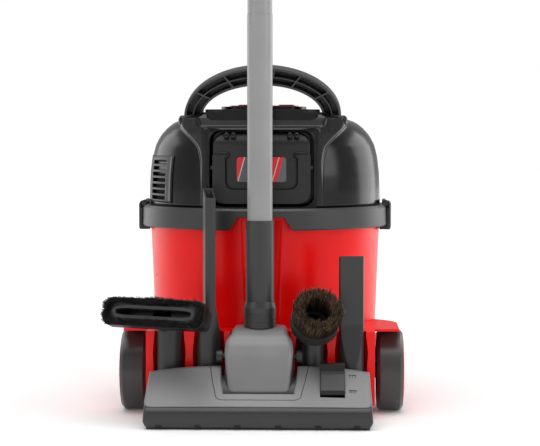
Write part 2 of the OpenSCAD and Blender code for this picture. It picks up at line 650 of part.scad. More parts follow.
// Two lugs under the skin carry the pedal's pin.
module pedal_lugs() {
  for (x = [pedal_x[0] - 4.6, pedal_x[1] + 0.6]) translate([x, -241, 44]) cube([4, 10, 14]);
  translate([0, pedal_pivot[0], pedal_pivot[1]]) bar_x(2.94, pedal_x[0] - 4, pedal_x[1] + 4);
}
module floor_bumper() color(charcoal) difference() {
  along_x(-floor_half_w, floor_half_w)
    polygon([[floor_y[1], 25], [floor_y[1], 7.2], [floor_y[0] + 3, 7.2], [floor_y[0], 10], [floor_y[0] + 2, 25]]);
  along_x(-floor_half_w + 5, floor_half_w - 5)
    polygon([[floor_y[1] - 3, 26], [floor_y[1] - 3, 7], [floor_y[0] + 8, 7], [floor_y[0] + 8, 26]]);
  translate([-cut_half_w, -230, 7]) cube([2 * cut_half_w, 30, 70]);
}
slot_y = -252;
module sole_plate() color(black) difference() {
  union() {
    along_x(-floor_half_w + 4, floor_half_w - 4)
      polygon([[floor_y[1] - 4, 7], [floor_y[1] - 4, 3], [floor_y[1] - 7, 0], [floor_y[0] + 9, 0], [floor_y[0] + 5, 3],
               [floor_y[0] + 5, 7]]);
    both_sides() along_x(cut_half_w + 1, cut_half_w + 6) difference() {
      union() {
        translate([pivot[1], pivot[2]]) circle(8);
        translate([pivot[1] - 8, 6]) square([16, pivot[2] - 6]);
      }
      translate([pivot[1], pivot[2]]) circle(4 + running);
    }
  }
  // suction slot, brush slots and roller slots
  translate([-100, slot_y - 7, -1]) cube([200, 14, 12]);
  translate([-125, -272, -1]) cube([250, 6, 12]);
  translate([-125, -238, -1]) cube([250, 6, 12]);
  both_sides() {
    translate([92, -226.6, -1]) cube([12, 10.2, 12]);
    translate([0, -221.5, roller_r]) bar_x(1.5 + running, 89.5, 106.5);
  }
}
roller_r = 4.4;
module sole_rollers() color(charcoal) both_sides() translate([0, -221.5, roller_r]) {
  bar_x(roller_r, 93, 103);
  bar_x(1.5, 90, 106);
}
module floor_brushes() color([0.05, 0.05, 0.05]) for (y = [-269, -235])
  translate([-124, y - 2.4, 0.2]) cube([248, 4.8, 9.8]);
module pedal() color(charcoal) difference() {
  along_x(pedal_x[0], pedal_x[1]) difference() {
    polygon([[-258, 41], [-257.5, 46.5], [-241, 64.5], [-239, 68], [-236.5, 76], [-234, 77.4], [-221, 76.6],
             [-221, 71], [-229, 52], [-234, 43], [-252, 39.5]]);
    translate(pedal_pivot) circle(3);
  }
}

// ---- Knuckle, neck and wand ----

hood_top_z = 119;
hood_half_w = 46;
collar_seat_z = 97;
park_pivot = [0, -215, 83];
module hood_profile() polygon([[-222, 60], [-256, 44], [-253, 60], [-246, 84], [-236, 104], [-226, 114],
  [-212, 118], [-200, hood_top_z], [-179.6, hood_top_z], [-179.6, 66], [-196, 58]]);
module knuckle_hood() color(mid_grey) difference() {
  union() {
    intersection() {
      along_x(-hood_half_w, hood_half_w) hood_profile();
      // the top corners are eased, and only the middle reaches into the dock
      translate([0, -193.4, 0]) rotate([90, 0, 0]) linear_extrude(80) polygon([[-46, 20], [46, 20], [46, 98],
        [43, 104.5], [38, 111], [31, 116], [24, 119.5], [-24, 119.5], [-31, 116], [-38, 111], [-43, 104.5], [-46, 98]]);
    }
    intersection() {
      along_x(-34, 34) hood_profile();
      translate([-34, -200, 50]) cube([68, 25, 80]);
    }
    both_sides() along_x(hood_half_w - 9, hood_half_w) {
      translate([pivot[1], pivot[2]]) circle(12);
      polygon([[pivot[1] - 12, pivot[2]], [pivot[1] + 12, pivot[2]], [-205, 64], [-252, 50]]);
    }
  }
  translate([0, wand_y, 50]) cylinder(h = collar_seat_z - 50, r = 15);
  translate([0, wand_y, collar_seat_z]) cylinder(h = 40, r = 18 + running);
  translate(pivot) bar_x(4 + running, -60, 60);
  both_sides() translate(park_pivot) bar_x(4, 18.6, 60);
}
module knuckle_axle() color(steel) translate(pivot) bar_x(4, -cut_half_w - 6.4, cut_half_w + 6.4);
module park_pin() color(mid_grey) translate(park_pivot) both_sides() {
  bar_x(3.96, 19, 47);
  bar_x(8, 46.5, 54);
}
module neck_collar() color(charcoal) translate([0, wand_y, 0]) difference() {
  rotate_extrude() polygon([[15.94, collar_seat_z + 0.4], [18, collar_seat_z + 0.4], [18, hood_top_z + 0.6],
    [20.5, hood_top_z + 0.6], [20.5, 144], [18.4, 152], [15.94, 152]]);
  for (z = [122:3.4:137]) ring(21, 19.9, z, z + 1.4);
}
connector_z = [152.2, 254];
module wand_connector() color(charcoal) translate([0, wand_y, 0]) difference() {
  union() {
    translate([0, 0, 124]) cylinder(h = 30, r = 15.88);
    translate([0, 0, connector_z[0]]) cylinder(h = connector_z[1] - connector_z[0], r = 18);
  }
  translate([0, 0, 123]) cylinder(h = 140, r = 13.6);
  translate([0, 0, connector_z[1] - 46]) cylinder(h = 50, r = tube_r + 0.02);
}
module wand_tube() color(tube_grey) translate([0, wand_y, 0]) difference() {
  union() {
    translate([0, 0, connector_z[1] - 45.6]) cylinder(h = wand_top_z - 40 - connector_z[1] + 45.6, r = tube_r);
    translate([0, 0, wand_top_z - 40.2]) cylinder(h = 40.2, r = tube_r - 0.5);
  }
  translate([0, 0, 200]) cylinder(h = 400, r = tube_r - 1.4);
}

place() chassis();
place() tub();
place() rear_axle();
place() inlet_collar();
place() bag_collar();
place() dust_bag();
place() filter_ring();
place() filter_cloth();
place() tyre_left();
place() wheel_cap_left();
place() tyre_right();
place() wheel_cap_right();
place() castor_fork_left();
place() castor_wheel_left();
place() castor_fork_right();
place() castor_wheel_right();
place() head_shell();
place() bumper_band();
place() motor_plate();
place() motor_housing();
place() motor_stator();
place() exhaust_grille();
place() exhaust_filter();
place() top_plate();
place() badges();
place() control_board();
place() gauge_lens();
place() hinge_pins();
place() battery_contacts();
place() head_screws();
place() fan_impeller();
place() fan_shaft();
place() power_button();
place() boost_button();
place() handle();
place() battery_case();
place() battery_face();
place() battery_label();
place() battery_bail();
place() clip_left();
place() clip_right();
place() crevice_tool_long();
place() crevice_tool_short();
place() dusting_brush();
place() dusting_bristles();
place() upholstery_nozzle();
place() slide_brush_frame();
place() slide_brush_bristles();
place() knuckle_hood();
place() knuckle_axle();
place() park_pin();
place() neck_collar();
place() wand_connector();
place() wand_tube();
place() floor_shell();
place() floor_bumper();
place() sole_plate();
place() pedal();
place() floor_brushes();
place() sole_rollers();
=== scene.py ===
import bpy
import numpy as np
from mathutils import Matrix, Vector


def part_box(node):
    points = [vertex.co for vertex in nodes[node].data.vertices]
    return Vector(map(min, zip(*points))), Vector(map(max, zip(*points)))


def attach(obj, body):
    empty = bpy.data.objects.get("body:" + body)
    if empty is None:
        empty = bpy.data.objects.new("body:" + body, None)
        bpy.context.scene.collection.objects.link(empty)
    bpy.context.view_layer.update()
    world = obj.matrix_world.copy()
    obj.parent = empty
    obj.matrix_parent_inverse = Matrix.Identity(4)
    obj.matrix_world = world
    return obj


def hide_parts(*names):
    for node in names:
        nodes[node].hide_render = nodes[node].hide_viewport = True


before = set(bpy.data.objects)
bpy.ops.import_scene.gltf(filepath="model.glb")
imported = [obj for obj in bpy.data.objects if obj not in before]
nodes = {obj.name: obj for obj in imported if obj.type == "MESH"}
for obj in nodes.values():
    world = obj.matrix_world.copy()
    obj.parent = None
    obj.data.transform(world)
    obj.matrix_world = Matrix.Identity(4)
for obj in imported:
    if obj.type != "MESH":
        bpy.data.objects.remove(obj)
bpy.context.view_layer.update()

# The room. A pale floor with the lights of a small studio round it: one wide
# soft light above, one at each side to draw the long bright edges on gloss.
scene = bpy.context.scene
scene.view_settings.view_transform = "Standard"


def linear(colour):
    """The linear colour of an sRGB hex value: each channel is c / 12.92 when
    small, else ((c + 0.055) / 1.055) to the power 2.4."""
    c = np.array([int(colour[i:i + 2], 16) for i in (1, 3, 5)]) / 255
    c = np.where(c <= 0.04045, c / 12.92, ((c + 0.055) / 1.055) ** 2.4)
    return (*map(float, c), 1.0)


def add(tree, kind, settings=None, inputs=None, stops=None):
    """Adds one node: its settings, its inputs as values or links, and the
    stops of a colour ramp."""
    node = tree.nodes.new("ShaderNode" + kind)
    for key, value in (settings or {}).items():
        setattr(node, key, value)
    for key, value in (inputs or {}).items():
        if isinstance(value, bpy.types.NodeSocket):
            tree.links.new(value, node.inputs[key])
        else:
            node.inputs[key].default_value = value
    if stops:
        ramp = node.color_ramp.elements
        while len(ramp) < len(stops):
            ramp.new(0.5)
        for element, (place, colour) in zip(ramp, stops):
            element.position, element.color = place, colour
    return node


def finish_with(name, **shader):
    """A new material with one Principled shader; returns it, its tree, the
    shader and the socket of Object coordinates."""
    material = bpy.data.materials.new(name)
    material.use_nodes = True
    tree = material.node_tree
    tree.nodes.clear()
    surface = add(tree, "BsdfPrincipled", inputs=shader)
    add(tree, "OutputMaterial", inputs={"Surface": surface.outputs[0]})
    return material, tree, surface, add(tree, "TexCoord").outputs["Object"]


def wear(material, *names):
    """Gives the material to every slot of the named CAD nodes."""
    for name in names:
        slots = nodes[name].data.materials
        for i in range(len(slots)):
            slots[i] = material
        if not len(slots):
            slots.append(material)


def area(name, place, aim, size, watts):
    """A square soft light at place that looks at aim."""
    data = bpy.data.lights.new(name, "AREA")
    data.size, data.energy = size, watts
    lamp = bpy.data.objects.new(name, data)
    lamp.location = place
    lamp.rotation_mode = "QUATERNION"
    lamp.rotation_quaternion = (Vector(aim) - Vector(place)).to_track_quat("-Z", "Y")
    scene.collection.objects.link(lamp)


# The wand's length runs out of the top of the view, and the lens is a long
# one, a little over two metres back and to the right of the machine.
LENS, EYE = 123.1, (0.0915, -2.4796, 0.373)
PITCH, TURN = np.radians(90 - 3.0), np.radians(1.75)
lens = bpy.data.cameras.new("camera")
lens.lens, lens.sensor_width = LENS, 36.0
lens.clip_start, lens.clip_end = 0.05, 60
camera = bpy.data.objects.new("camera", lens)
camera.location, camera.rotation_euler = EYE, (PITCH, 0, TURN)
scene.collection.objects.link(camera)
scene.camera = camera

# backdrop paper: matt white, with a mottle of about 330 mm that hardly shows
paper, tree, surface, here = finish_with("paper_floor", Roughness=0.7)
mottle = add(tree, "TexNoise", inputs={"Vector": here, "Scale": 3.0})
tree.links.new(add(tree, "ValToRGB", inputs={"Fac": mottle.outputs["Fac"]}, stops=[
    (0.3, linear("#f6f6f6")), (0.7, linear("#f9f9f9"))]).outputs["Color"],
    surface.inputs["Base Color"])
bpy.ops.mesh.primitive_plane_add(size=24, location=(0, 0, 0))
floor = bpy.context.object
floor.name = "floor"
floor.data.materials.append(paper)

# the far floor glows a little, so that it runs into the white backdrop
away = add(tree, "VectorMath", {"operation": "LENGTH"}, {0: here})
tree.links.new(add(tree, "MapRange", inputs={
    "Value": away.outputs["Value"], "From Min": 0.5, "From Max": 2.6, "To Min": 0.06,
    "To Max": 0.75}).outputs[0], surface.inputs["Emission Strength"])
surface.inputs["Emission Color"].default_value = (1, 1, 1, 1)

world = bpy.data.worlds.new("studio")
world.use_nodes = True
tree = world.node_tree
# white to look at, dimmer as a light, so that gloss keeps its dark reflections
seen = add(tree, "LightPath").outputs["Is Camera Ray"]
tree.links.new(add(tree, "MapRange", inputs={
    "Value": seen, "To Min": 0.40, "To Max": 1.0}).outputs[0],
    tree.nodes["Background"].inputs["Strength"])
tree.nodes["Background"].inputs["Color"].default_value = (1, 1, 1, 1)
scene.world = world
area("overhead", (0, -0.4, 2.3), (0, 0, 0.2), 2.2, 40)
area("left_front", (-2.0, -1.6, 1.2), (0, 0, 0.25), 1.2, 8)
area("right_front", (2.4, -1.2, 1.2), (0, 0, 0.3), 1.4, 16)
area("left_back", (-2.2, 1.7, 0.9), (0, 0, 0.25), 1.8, 14)
area("right_back", (2.2, 1.6, 0.9), (0, 0, 0.25), 1.8, 20)

# The tub is injection-moulded red ABS with a polished face, drawn with a
# little draft so that it comes off its core; the motor head drops into it.
AXIS = sum(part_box("filter_ring"), Vector()) / 2
AXIS.z = 0


def moulded(name, colour, rough, grain, depth, coat=0.0, tint=0.92, edge=0.0008,
            gloss=0.5):
    """Moulded thermoplastic, with gloss as its specular level. Colour drifts a
    little with the flow of the melt (60 mm), roughness with handling (12 mm),
    and the skin carries the grain of the mould, grain mm across and depth mm
    deep; edge is the mould's radius in metres."""
    base = linear(colour)
    low = tuple(c * tint for c in base[:3]) + (1.0,)
    material, tree, surface, here = finish_with(
        name, IOR=1.5, **{"Coat Weight": coat, "Coat Roughness": 0.08,
                          "Specular IOR Level": gloss})
    flow = add(tree, "TexNoise", inputs={"Vector": here, "Scale": 1 / 0.06, "Detail": 3.0})
    hands = add(tree, "TexNoise", inputs={"Vector": here, "Scale": 1 / 0.012, "Detail": 1.0})
    skin_grain = add(tree, "TexNoise", inputs={
        "Vector": here, "Scale": 1000 / grain, "Detail": 2.0})
    tree.links.new(add(tree, "ValToRGB", inputs={"Fac": flow.outputs["Fac"]}, stops=[
        (0.35, low), (0.65, base)]).outputs["Color"], surface.inputs["Base Color"])
    tree.links.new(add(tree, "MapRange", inputs={
        "Value": hands.outputs["Fac"], "To Min": rough - 0.04, "To Max": rough + 0.04}).outputs[0],
        surface.inputs["Roughness"])
    bump = add(tree, "Bump", inputs={
        "Strength": 0.6, "Distance": depth / 1000, "Height": skin_grain.outputs["Fac"]})
    if edge:
        rounded = add(tree, "Bevel", {"samples": 4}, {"Radius": edge})
        tree.links.new(rounded.outputs["Normal"], bump.inputs["Normal"])
    tree.links.new(bump.outputs["Normal"], surface.inputs["Normal"])
    return material


# ABS from a polished mould: faint orange peel, a clear wet edge to highlights
red_gloss = moulded("red_abs_polished", "#f60404", 0.3, 2.6, 0.015, edge=0, gloss=0.2)
# same plastic from a lightly blasted mould: softer highlights
red_satin = moulded("red_abs_satin", "#f80606", 0.33, 1.1, 0.02, gloss=0.3)


def eased(x, knots, spread):
    """Straight lines between the knots, averaged over plus and minus spread."""
    across, up = zip(*knots)
    steps = np.linspace(-spread, spread, 15)
    return np.interp(np.asarray(x)[..., None] + steps, across, up).mean(-1)


def softer(a, b, k):
    """The smaller of a and b, with a round of size k where they cross:
    min(a, b) - max(k - |a - b|, 0) squared / 4k."""
    return np.minimum(a, b) - np.maximum(k - abs(a - b), 0) ** 2 / (4 * k)


def skin(name, points, material, body, round_u=False, round_v=False,
         caps=(False, False), keep=None, flip=False, smooth=35, wall=0.0):
    """A piece from a grid of points in mm from the machine's axis: point (i, j)
    is joined to its neighbours in four-sided faces, the last row or column to
    the first where it is round, and a cap closes the first or last row."""
    n, m = points.shape[:2]
    index = np.arange(n * m).reshape(n, m)
    if round_v:
        index = np.hstack([index, index[:, :1]])
    if round_u:
        index = np.vstack([index, index[:1]])
    quads = np.stack([index[:-1, :-1], index[1:, :-1], index[1:, 1:], index[:-1, 1:]], -1)
    quads = quads[keep] if keep is not None else quads.reshape(-1, 4)
    faces = (quads[:, ::-1] if flip else quads).tolist()
    if caps[0]:
        faces.append(index[0, :m][::-1 if flip else 1].tolist())
    if caps[1]:
        faces.append(index[-1, :m][::1 if flip else -1].tolist())
    mesh = bpy.data.meshes.new(name)
    place = points.reshape(-1, 3) / 1000 + np.array(AXIS)
    mesh.from_pydata(place.tolist(), [], faces)
    mesh.validate()
    mesh.polygons.foreach_set("use_smooth", [True] * len(mesh.polygons))
    mesh.set_sharp_from_angle(angle=np.radians(smooth))
    mesh.materials.append(material)
    piece = bpy.data.objects.new(name, mesh)
    scene.collection.objects.link(piece)
    if wall:
        thick = piece.modifiers.new("wall", "SOLIDIFY")
        thick.thickness, thick.offset = wall / 1000, -1
    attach(piece, body)
    return piece


TUB_Z, TUB_R, TUB_FOOT = (64.0, 258.0), (149.0, 156.8), 3.2    # heights, radii, foot's round
GROOVE_R, GROOVE_Y, GROOVE_TOP = 34.0, 178.0, 252.0
levels = np.concatenate([[64.0, 64.4, 65.4, 67.2], np.linspace(70, GROOVE_TOP - 1.2, 14),
                         [GROOVE_TOP - 0.2, GROOVE_TOP + 0.6, GROOVE_TOP + 2, TUB_Z[1]]])[:, None]
# columns lie close together across the groove
turn = np.radians(np.concatenate([np.linspace(-16, 16, 81), np.linspace(18, 342, 163)]))[None]
swell = TUB_R[0] + (TUB_R[1] - TUB_R[0]) * (levels - TUB_Z[0]) / (TUB_Z[1] - TUB_Z[0])
foot = np.clip((TUB_Z[0] + TUB_FOOT - levels) / TUB_FOOT, 0, 1)
swell = swell - TUB_FOOT * (1 - np.sqrt(1 - foot ** 2))
# where a ray from the axis meets the groove that the wand stands in
inside = GROOVE_R ** 2 - (GROOVE_Y * np.sin(turn)) ** 2
enter = np.where((inside > 0) & (np.cos(turn) > 0),
                 GROOVE_Y * np.cos(turn) - np.sqrt(np.maximum(inside, 0)), 400.0)
enter = np.where(levels > GROOVE_TOP, 400.0, enter)
swell = softer(swell * np.ones_like(enter), enter, 5.0)
tub = skin("tub_wall", np.stack([swell * np.sin(turn), -swell * np.cos(turn),
                                 levels * np.ones_like(swell)], -1), red_gloss, "base",
           round_v=True, caps=(True, False), flip=True, wall=3.0, smooth=50)
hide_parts("tub")
wear(red_satin, "chassis")

# Two big rear wheels: a grey rubber tread moulded round a hub, closed outside
# by a pressed-in red cap. The axle between them is a plain steel rod.
# rubber: dull, slightly dusty, with a fine pebble grain
tyre_rubber = moulded("tyre_rubber", "#3e3f40", 0.34, 0.8, 0.03, tint=0.88)
steel, tree, surface, here = finish_with("drawn_steel", Metallic=1.0)
# drawn rod: fine lines round it and a slightly dull zinc skin; the lines are
# drawn about 1 mm apart, coarser than real ones, so that they show
lines = add(tree, "TexWave", {"wave_type": "BANDS", "bands_direction": "X"},
            {"Vector": here, "Scale": 900.0, "Distortion": 2.0})
tree.links.new(add(tree, "ValToRGB", inputs={"Fac": lines.outputs["Fac"]}, stops=[
    (0.2, linear("#9a9b9d")), (0.8, linear("#b9babb"))]).outputs["Color"],
    surface.inputs["Base Color"])
tree.links.new(add(tree, "MapRange", inputs={
    "Value": lines.outputs["Fac"], "To Min": 0.28, "To Max": 0.4}).outputs[0],
    surface.inputs["Roughness"])
wear(tyre_rubber, "tyre_left", "tyre_right", "castor_wheel_left", "castor_wheel_right")
wear(red_satin, "wheel_cap_left", "wheel_cap_right")
wear(steel, "rear_axle")

# Castors: charcoal nylon forks that swivel in the chassis.
# charcoal polypropylene: an even, slightly silky spark-eroded skin
charcoal = moulded("charcoal_polypropylene", "#2f2f30", 0.40, 0.9, 0.03)
wear(charcoal, "castor_fork_left", "castor_fork_right")

# The bumper band clips the head to the tub and takes the knocks: a deep ring
# of charcoal polypropylene, with a swinging clip at each side.
wear(charcoal, "bumper_band", "clip_left", "clip_right")

# The head is a polished black ABS dome over the motor, moulded in one with a
# flat-backed housing for the battery. Lists pair a height with a reach.
# polished black ABS: deep, with soft wide reflections
black_gloss = moulded("black_abs_polished", "#0a0a0b", 0.2, 2.4, 0.015, gloss=0.36)
# black ABS from a blasted mould: dull, for inner parts and the battery
black_matt = moulded("black_abs_matt", "#131314", 0.4, 0.8, 0.03)

DOME = [(262, 157.2), (290, 156.6), (310, 155.6), (332, 153), (348, 149), (361, 142),
        (372, 132), (381, 119), (386, 95), (390, 60)]
SHOULDER = [(262, 79), (328, 79), (345, 83), (356, 92), (366, 103), (374, 110), (390, 112)]
BACK = [(262, 141), (370.5, 141), (372.5, 132), (384, 126.5), (390, 124)]
CORNER = [(262, 147.2), (366, 147.2), (384, 145.0), (390, 143.0)]
BAY = (67.0, 49.0, 14.0)            # half width, half height, corner
BAY_Z, BAY_DEPTH, WALL = 318.5, 78.0, 3.0
BACK_Y, BACK_TOP = -141.0, 370.6    # the flat back's place, and where it ends
WINDOW = (-93, -52, 276, 329)       # the hole behind the grille: degrees, heights


def head_radius(turn, z):
    """How far the head reaches from its axis, turn from the rear at height z:
    the larger of the dome cut by its flat back, and the battery housing, whose
    plan is the meeting of side, back, front and corner planes."""
    s, c = abs(np.sin(turn)), np.cos(turn)
    back = eased(z, BACK, 1.2) / np.maximum(c, 1e-3)
    dome = softer(eased(z, DOME, 4.0), back, 2.5)
    side = eased(z, SHOULDER, 4.0) / np.maximum(s, 1e-3)
    corner = eased(z, CORNER, 3.0) / np.maximum(0.771 * s + 0.636 * c, 1e-3)
    front = 20 / np.maximum(-c, 1e-3)
    house = softer(softer(softer(side, back, 3.0), corner, 5.0), front, 6.0)
    return -softer(-dome, -house, 4.0)


def round_rect(turn, half_w, half_h, r):
    """The reach of a rounded rectangle from its middle, turn from its +x side:
    the nearer side, or in a corner the far meeting with the corner's circle."""
    c, s = abs(np.cos(turn)), abs(np.sin(turn))
    reach = np.minimum(half_w / np.maximum(c, 1e-6), half_h / np.maximum(s, 1e-6))
    inner = (reach * c > half_w - r) & (reach * s > half_h - r)
    b = c * (half_w - r) + s * (half_h - r)
    gap = (half_w - r) ** 2 + (half_h - r) ** 2 - r * r
    return np.where(inner, b + np.sqrt(np.maximum(b * b - gap, 0)), reach)


# rows up the head, closer together over the shoulder
rise = np.concatenate([np.linspace(267.3, 330, 18), np.linspace(332.5, 368, 18),
                       np.linspace(369, 384, 22)])[:, None]
back, half = eased(rise, BACK, 1.2), eased(rise, SHOULDER, 4.0)
reach = (eased(rise, CORNER, 3.0) - 0.636 * back) / 0.771
edge = np.arctan2(np.minimum(reach, half) - 4.0, back)
crest = np.arctan2(np.minimum(reach, half) + 3.0, back - 2.5)
side = np.arctan2(half + 1.0, np.maximum(back - 14, 60))
valley = np.maximum(np.arcsin(np.minimum(half / eased(rise, DOME, 4.0), 0.94)) + 0.05,
                    side + 0.05)
knots = np.hstack([edge, crest, side, valley, np.full_like(edge, np.pi)])
counts = (9, 9, 12, 60)
along = np.concatenate([k + np.linspace(0, 1, n, endpoint=False)
                        for k, n in enumerate(counts)] + [[4.0]])
step = np.minimum(along.astype(int), 3)
turn = knots[:, step] + (knots[:, step + 1] - knots[:, step]) * (along - step)
turn = np.hstack([turn, 2 * np.pi - turn[:, -2::-1]])
radius = head_radius(turn, np.broadcast_to(rise, turn.shape))
dome = np.stack([radius * np.sin(turn), -radius * np.cos(turn),
                 np.broadcast_to(rise, turn.shape)], -1)
# the top runs in from the last row to the hole under the deck plate
way = np.arctan2(dome[-1, :, 0], -(dome[-1, :, 1] + 16))
rim_reach = round_rect(way - np.pi / 2, 76, 110.5, 25)
rim = np.stack([rim_reach * np.sin(way), -16 - rim_reach * np.cos(way),
                np.full_like(way, 391.5)], -1)
share = np.linspace(0, 1, 14)[1:, None, None]
crown = dome[-1] * (1 - share) + rim * share
crown[..., 2] = 384 + 7.5 * np.sin(share[..., 0] * np.pi / 2)
shell = np.concatenate([dome, crown])
middle = np.degrees((turn[:-1, :-1] + turn[1:, 1:]) / 2)
middle = np.where(middle > 180, middle - 360, middle)
height = (rise[:-1] + rise[1:]) / 2
open_side = ((middle > WINDOW[0]) & (middle < WINDOW[1])
             & (height > WINDOW[2]) & (height < WINDOW[3]))
keep = np.ones((shell.shape[0] - 1, shell.shape[1]), bool)
keep[:len(rise) - 1, :-1] = ~open_side
# the back is closed straight across, but only above the bay
keep[:np.sum(rise[:, 0] <= BACK_TOP) - 1, -1] = False
cover = skin("head_cover", shell, black_gloss, "head", keep=keep,
             round_v=True, flip=True, wall=WALL, smooth=60)
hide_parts("head_shell")

# The battery housing's back: a ring from the head's edges to the bay's lip,
# rounded over, then the bay's walls and floor.
left, right = dome[:, -1], dome[:, 0]
top_edge = rise[:, 0] <= BACK_TOP
outer_l, outer_r = left[top_edge], right[top_edge]
across = np.linspace(0, 1, 40)[1:-1, None]
loop = np.concatenate([outer_r, outer_r[-1] + (outer_l[-1] - outer_r[-1]) * across,
                       outer_l[::-1], outer_l[0] + (outer_r[0] - outer_l[0]) * across])
angle = np.arctan2(loop[:, 2] - BAY_Z, loop[:, 0])


def bay_loop(grow, y):
    """The bay's rounded rectangle, grown by so much, at depth y."""
    t = round_rect(angle, BAY[0] + grow, BAY[1] + grow, BAY[2] + grow)
    return np.stack([t * np.cos(angle), np.full_like(t, y), BAY_Z + t * np.sin(angle)], -1)


LIP = 1.4                           # the lip's round
lip = [bay_loop(LIP - LIP * np.sin(a), BACK_Y + LIP - LIP * np.cos(a))
       for a in np.linspace(0, np.pi / 2, 5)]
ring = np.stack([loop, *lip, bay_loop(0, BACK_Y + BAY_DEPTH)])
skin("bay_surround", ring, black_gloss, "head", round_v=True,
     caps=(False, True), smooth=50, flip=True)
wear(black_matt, "hinge_pins")

# The exhaust louvre: a raised panel that follows the dome, with seven slots
# and a ridge at its rear edge, over a dark foam that the air leaves through.
SLOT_FROM, SLOT_TO, SLOTS = -73.5, -55.5, 7             # degrees, and how many
SLOT_Z, SLOT_HIGH, PITCH_Z = 275.5, 5.0, 7.9            # lowest, height, spacing
cols = np.linspace(-92, -49.5, 50)
cols = np.radians(np.unique(np.concatenate([cols, [SLOT_FROM, SLOT_TO]])))
bars = SLOT_Z + PITCH_Z * np.arange(SLOTS)
levels = np.unique(np.concatenate([np.linspace(272, 334, 20), bars, bars + SLOT_HIGH]))[:, None]
ridge = 1.6 * np.exp(-((np.degrees(cols) + 50.6) / 0.7) ** 2)
reach = head_radius(cols[None], levels) + 0.9 + ridge
panel = np.stack([reach * np.sin(cols), -reach * np.cos(cols),
                  np.broadcast_to(levels, reach.shape)], -1)
mid_turn = np.degrees(cols[:-1] + cols[1:]) / 2
mid_z = (levels[:-1] + levels[1:]) / 2
slot = ((mid_turn > SLOT_FROM) & (mid_turn < SLOT_TO)
        & ((mid_z - SLOT_Z) % PITCH_Z < SLOT_HIGH) & (mid_z > SLOT_Z)
        & (mid_z < bars[-1] + SLOT_HIGH))
louvre = skin("exhaust_louvre", panel, black_matt, "head", keep=~slot,
              flip=True, wall=2.6, smooth=40)
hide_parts("exhaust_grille")
# open-cell polyurethane foam: near black, with cells of about 1.8 mm
foam, tree, surface, here = finish_with("exhaust_foam", Roughness=0.95)
cells = add(tree, "TexVoronoi", inputs={"Vector": here, "Scale": 1 / 0.0018})
tree.links.new(add(tree, "ValToRGB", inputs={"Fac": cells.outputs["Distance"]}, stops=[
    (0.1, linear("#040404")), (0.9, linear("#0d0d0e"))]).outputs["Color"],
    surface.inputs["Base Color"])
reach = head_radius(cols[None], levels) - 5.5
skin("exhaust_foam", np.stack([reach * np.sin(cols), -reach * np.cos(cols),
                               np.broadcast_to(levels, reach.shape)], -1),
     foam, "head", flip=True, wall=2.0)

# The deck plate on top carries two press buttons, a charge gauge behind a
# smoked lens, and a red plate; it is screwed down over the control board.
wear(black_gloss, "top_plate")
# screen-printed polyester film: flat even red under a thin clear coat
red_print, tree, surface, here = finish_with("printed_red_film", Roughness=0.25,
                                             **{"Coat Weight": 0.4, "Coat Roughness": 0.05})
weave = add(tree, "TexNoise", inputs={"Vector": here, "Scale": 1 / 0.004, "Detail": 3.0})
tree.links.new(add(tree, "ValToRGB", inputs={"Fac": weave.outputs["Fac"]}, stops=[
    (0.3, linear("#c9141a")), (0.7, linear("#d81c22"))]).outputs["Color"],
    surface.inputs["Base Color"])
# smoked polycarbonate: almost black and very clear in its reflections
lens_plastic = moulded("smoked_polycarbonate", "#101214", 0.12, 4.0, 0.005, coat=0.6)
wear(red_print, "badges")
wear(lens_plastic, "gauge_lens")
wear(charcoal, "power_button", "boost_button")

# The carrying handle is a hollow charcoal arch, open to the rear, with thin
# ribs across its channel; it folds back on two pins.
wear(charcoal, "handle")

# The battery is a black case that slides into the bay and shows a padded
# face with a printed plate and a swinging bail to pull it out by.
wear(black_matt, "battery_case", "battery_bail")
around = np.linspace(0, 2 * np.pi, 144, endpoint=False)
PACK, PACK_Z = (63.5, 46.25, 18.0), 318.75
insets = [(0.0, -127.0), (0.0, -138.6), (0.4, -139.9), (1.2, -140.7), (2.4, BACK_Y)]
insets += [(v, BACK_Y) for v in (5, 8, 11, 14, 18, 23, 28, 34, 40)]
front = []
for inset, y in insets:
    t = round_rect(around, PACK[0] - inset, PACK[1] - inset, max(PACK[2] - inset, 4.0))
    x, z = t * np.cos(around), PACK_Z + t * np.sin(around)
    slope = 0.5 * np.maximum(z - 352.5, 0) * (y < -130)      # the top edge leans in
    front.append(np.stack([x, y + slope, z], -1))
pack_front = skin("battery_front", np.array(front), black_matt, "battery",
                  round_v=True, caps=(True, True), smooth=30, flip=True)
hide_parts("battery_face")
# a printed film: red, with slanted grey bars edged in silver and a dark end;
# the bands lean 0.28 across for each unit up
SLANT = -0.28
label_film, tree, surface, here = finish_with("printed_label_film", Roughness=0.3,
                                              **{"Coat Weight": 0.3, "Coat Roughness": 0.06})
xyz = add(tree, "SeparateXYZ", inputs={"Vector": here})
slant = add(tree, "Math", {"operation": "MULTIPLY_ADD"}, {
    0: xyz.outputs["Z"], 1: SLANT, 2: xyz.outputs["X"]})
label_low, label_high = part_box("battery_label")
print_ramp = add(tree, "ValToRGB", inputs={"Fac": add(tree, "MapRange", inputs={
    "Value": slant.outputs[0], "From Min": label_low.x + SLANT * label_high.z,
    "From Max": label_high.x + SLANT * label_low.z}).outputs[0]}, stops=[
    (0.0, linear("#c8161c")), (0.13, linear("#b9babb")), (0.145, linear("#4c4d4f")),
    (0.30, linear("#b9babb")), (0.315, linear("#c8161c")), (0.74, linear("#b9babb")),
    (0.755, linear("#c8161c")), (0.83, linear("#55565a")), (1.0, linear("#3a3b3e"))])
print_ramp.color_ramp.interpolation = "CONSTANT"
tree.links.new(print_ramp.outputs["Color"], surface.inputs["Base Color"])
wear(label_film, "battery_label")


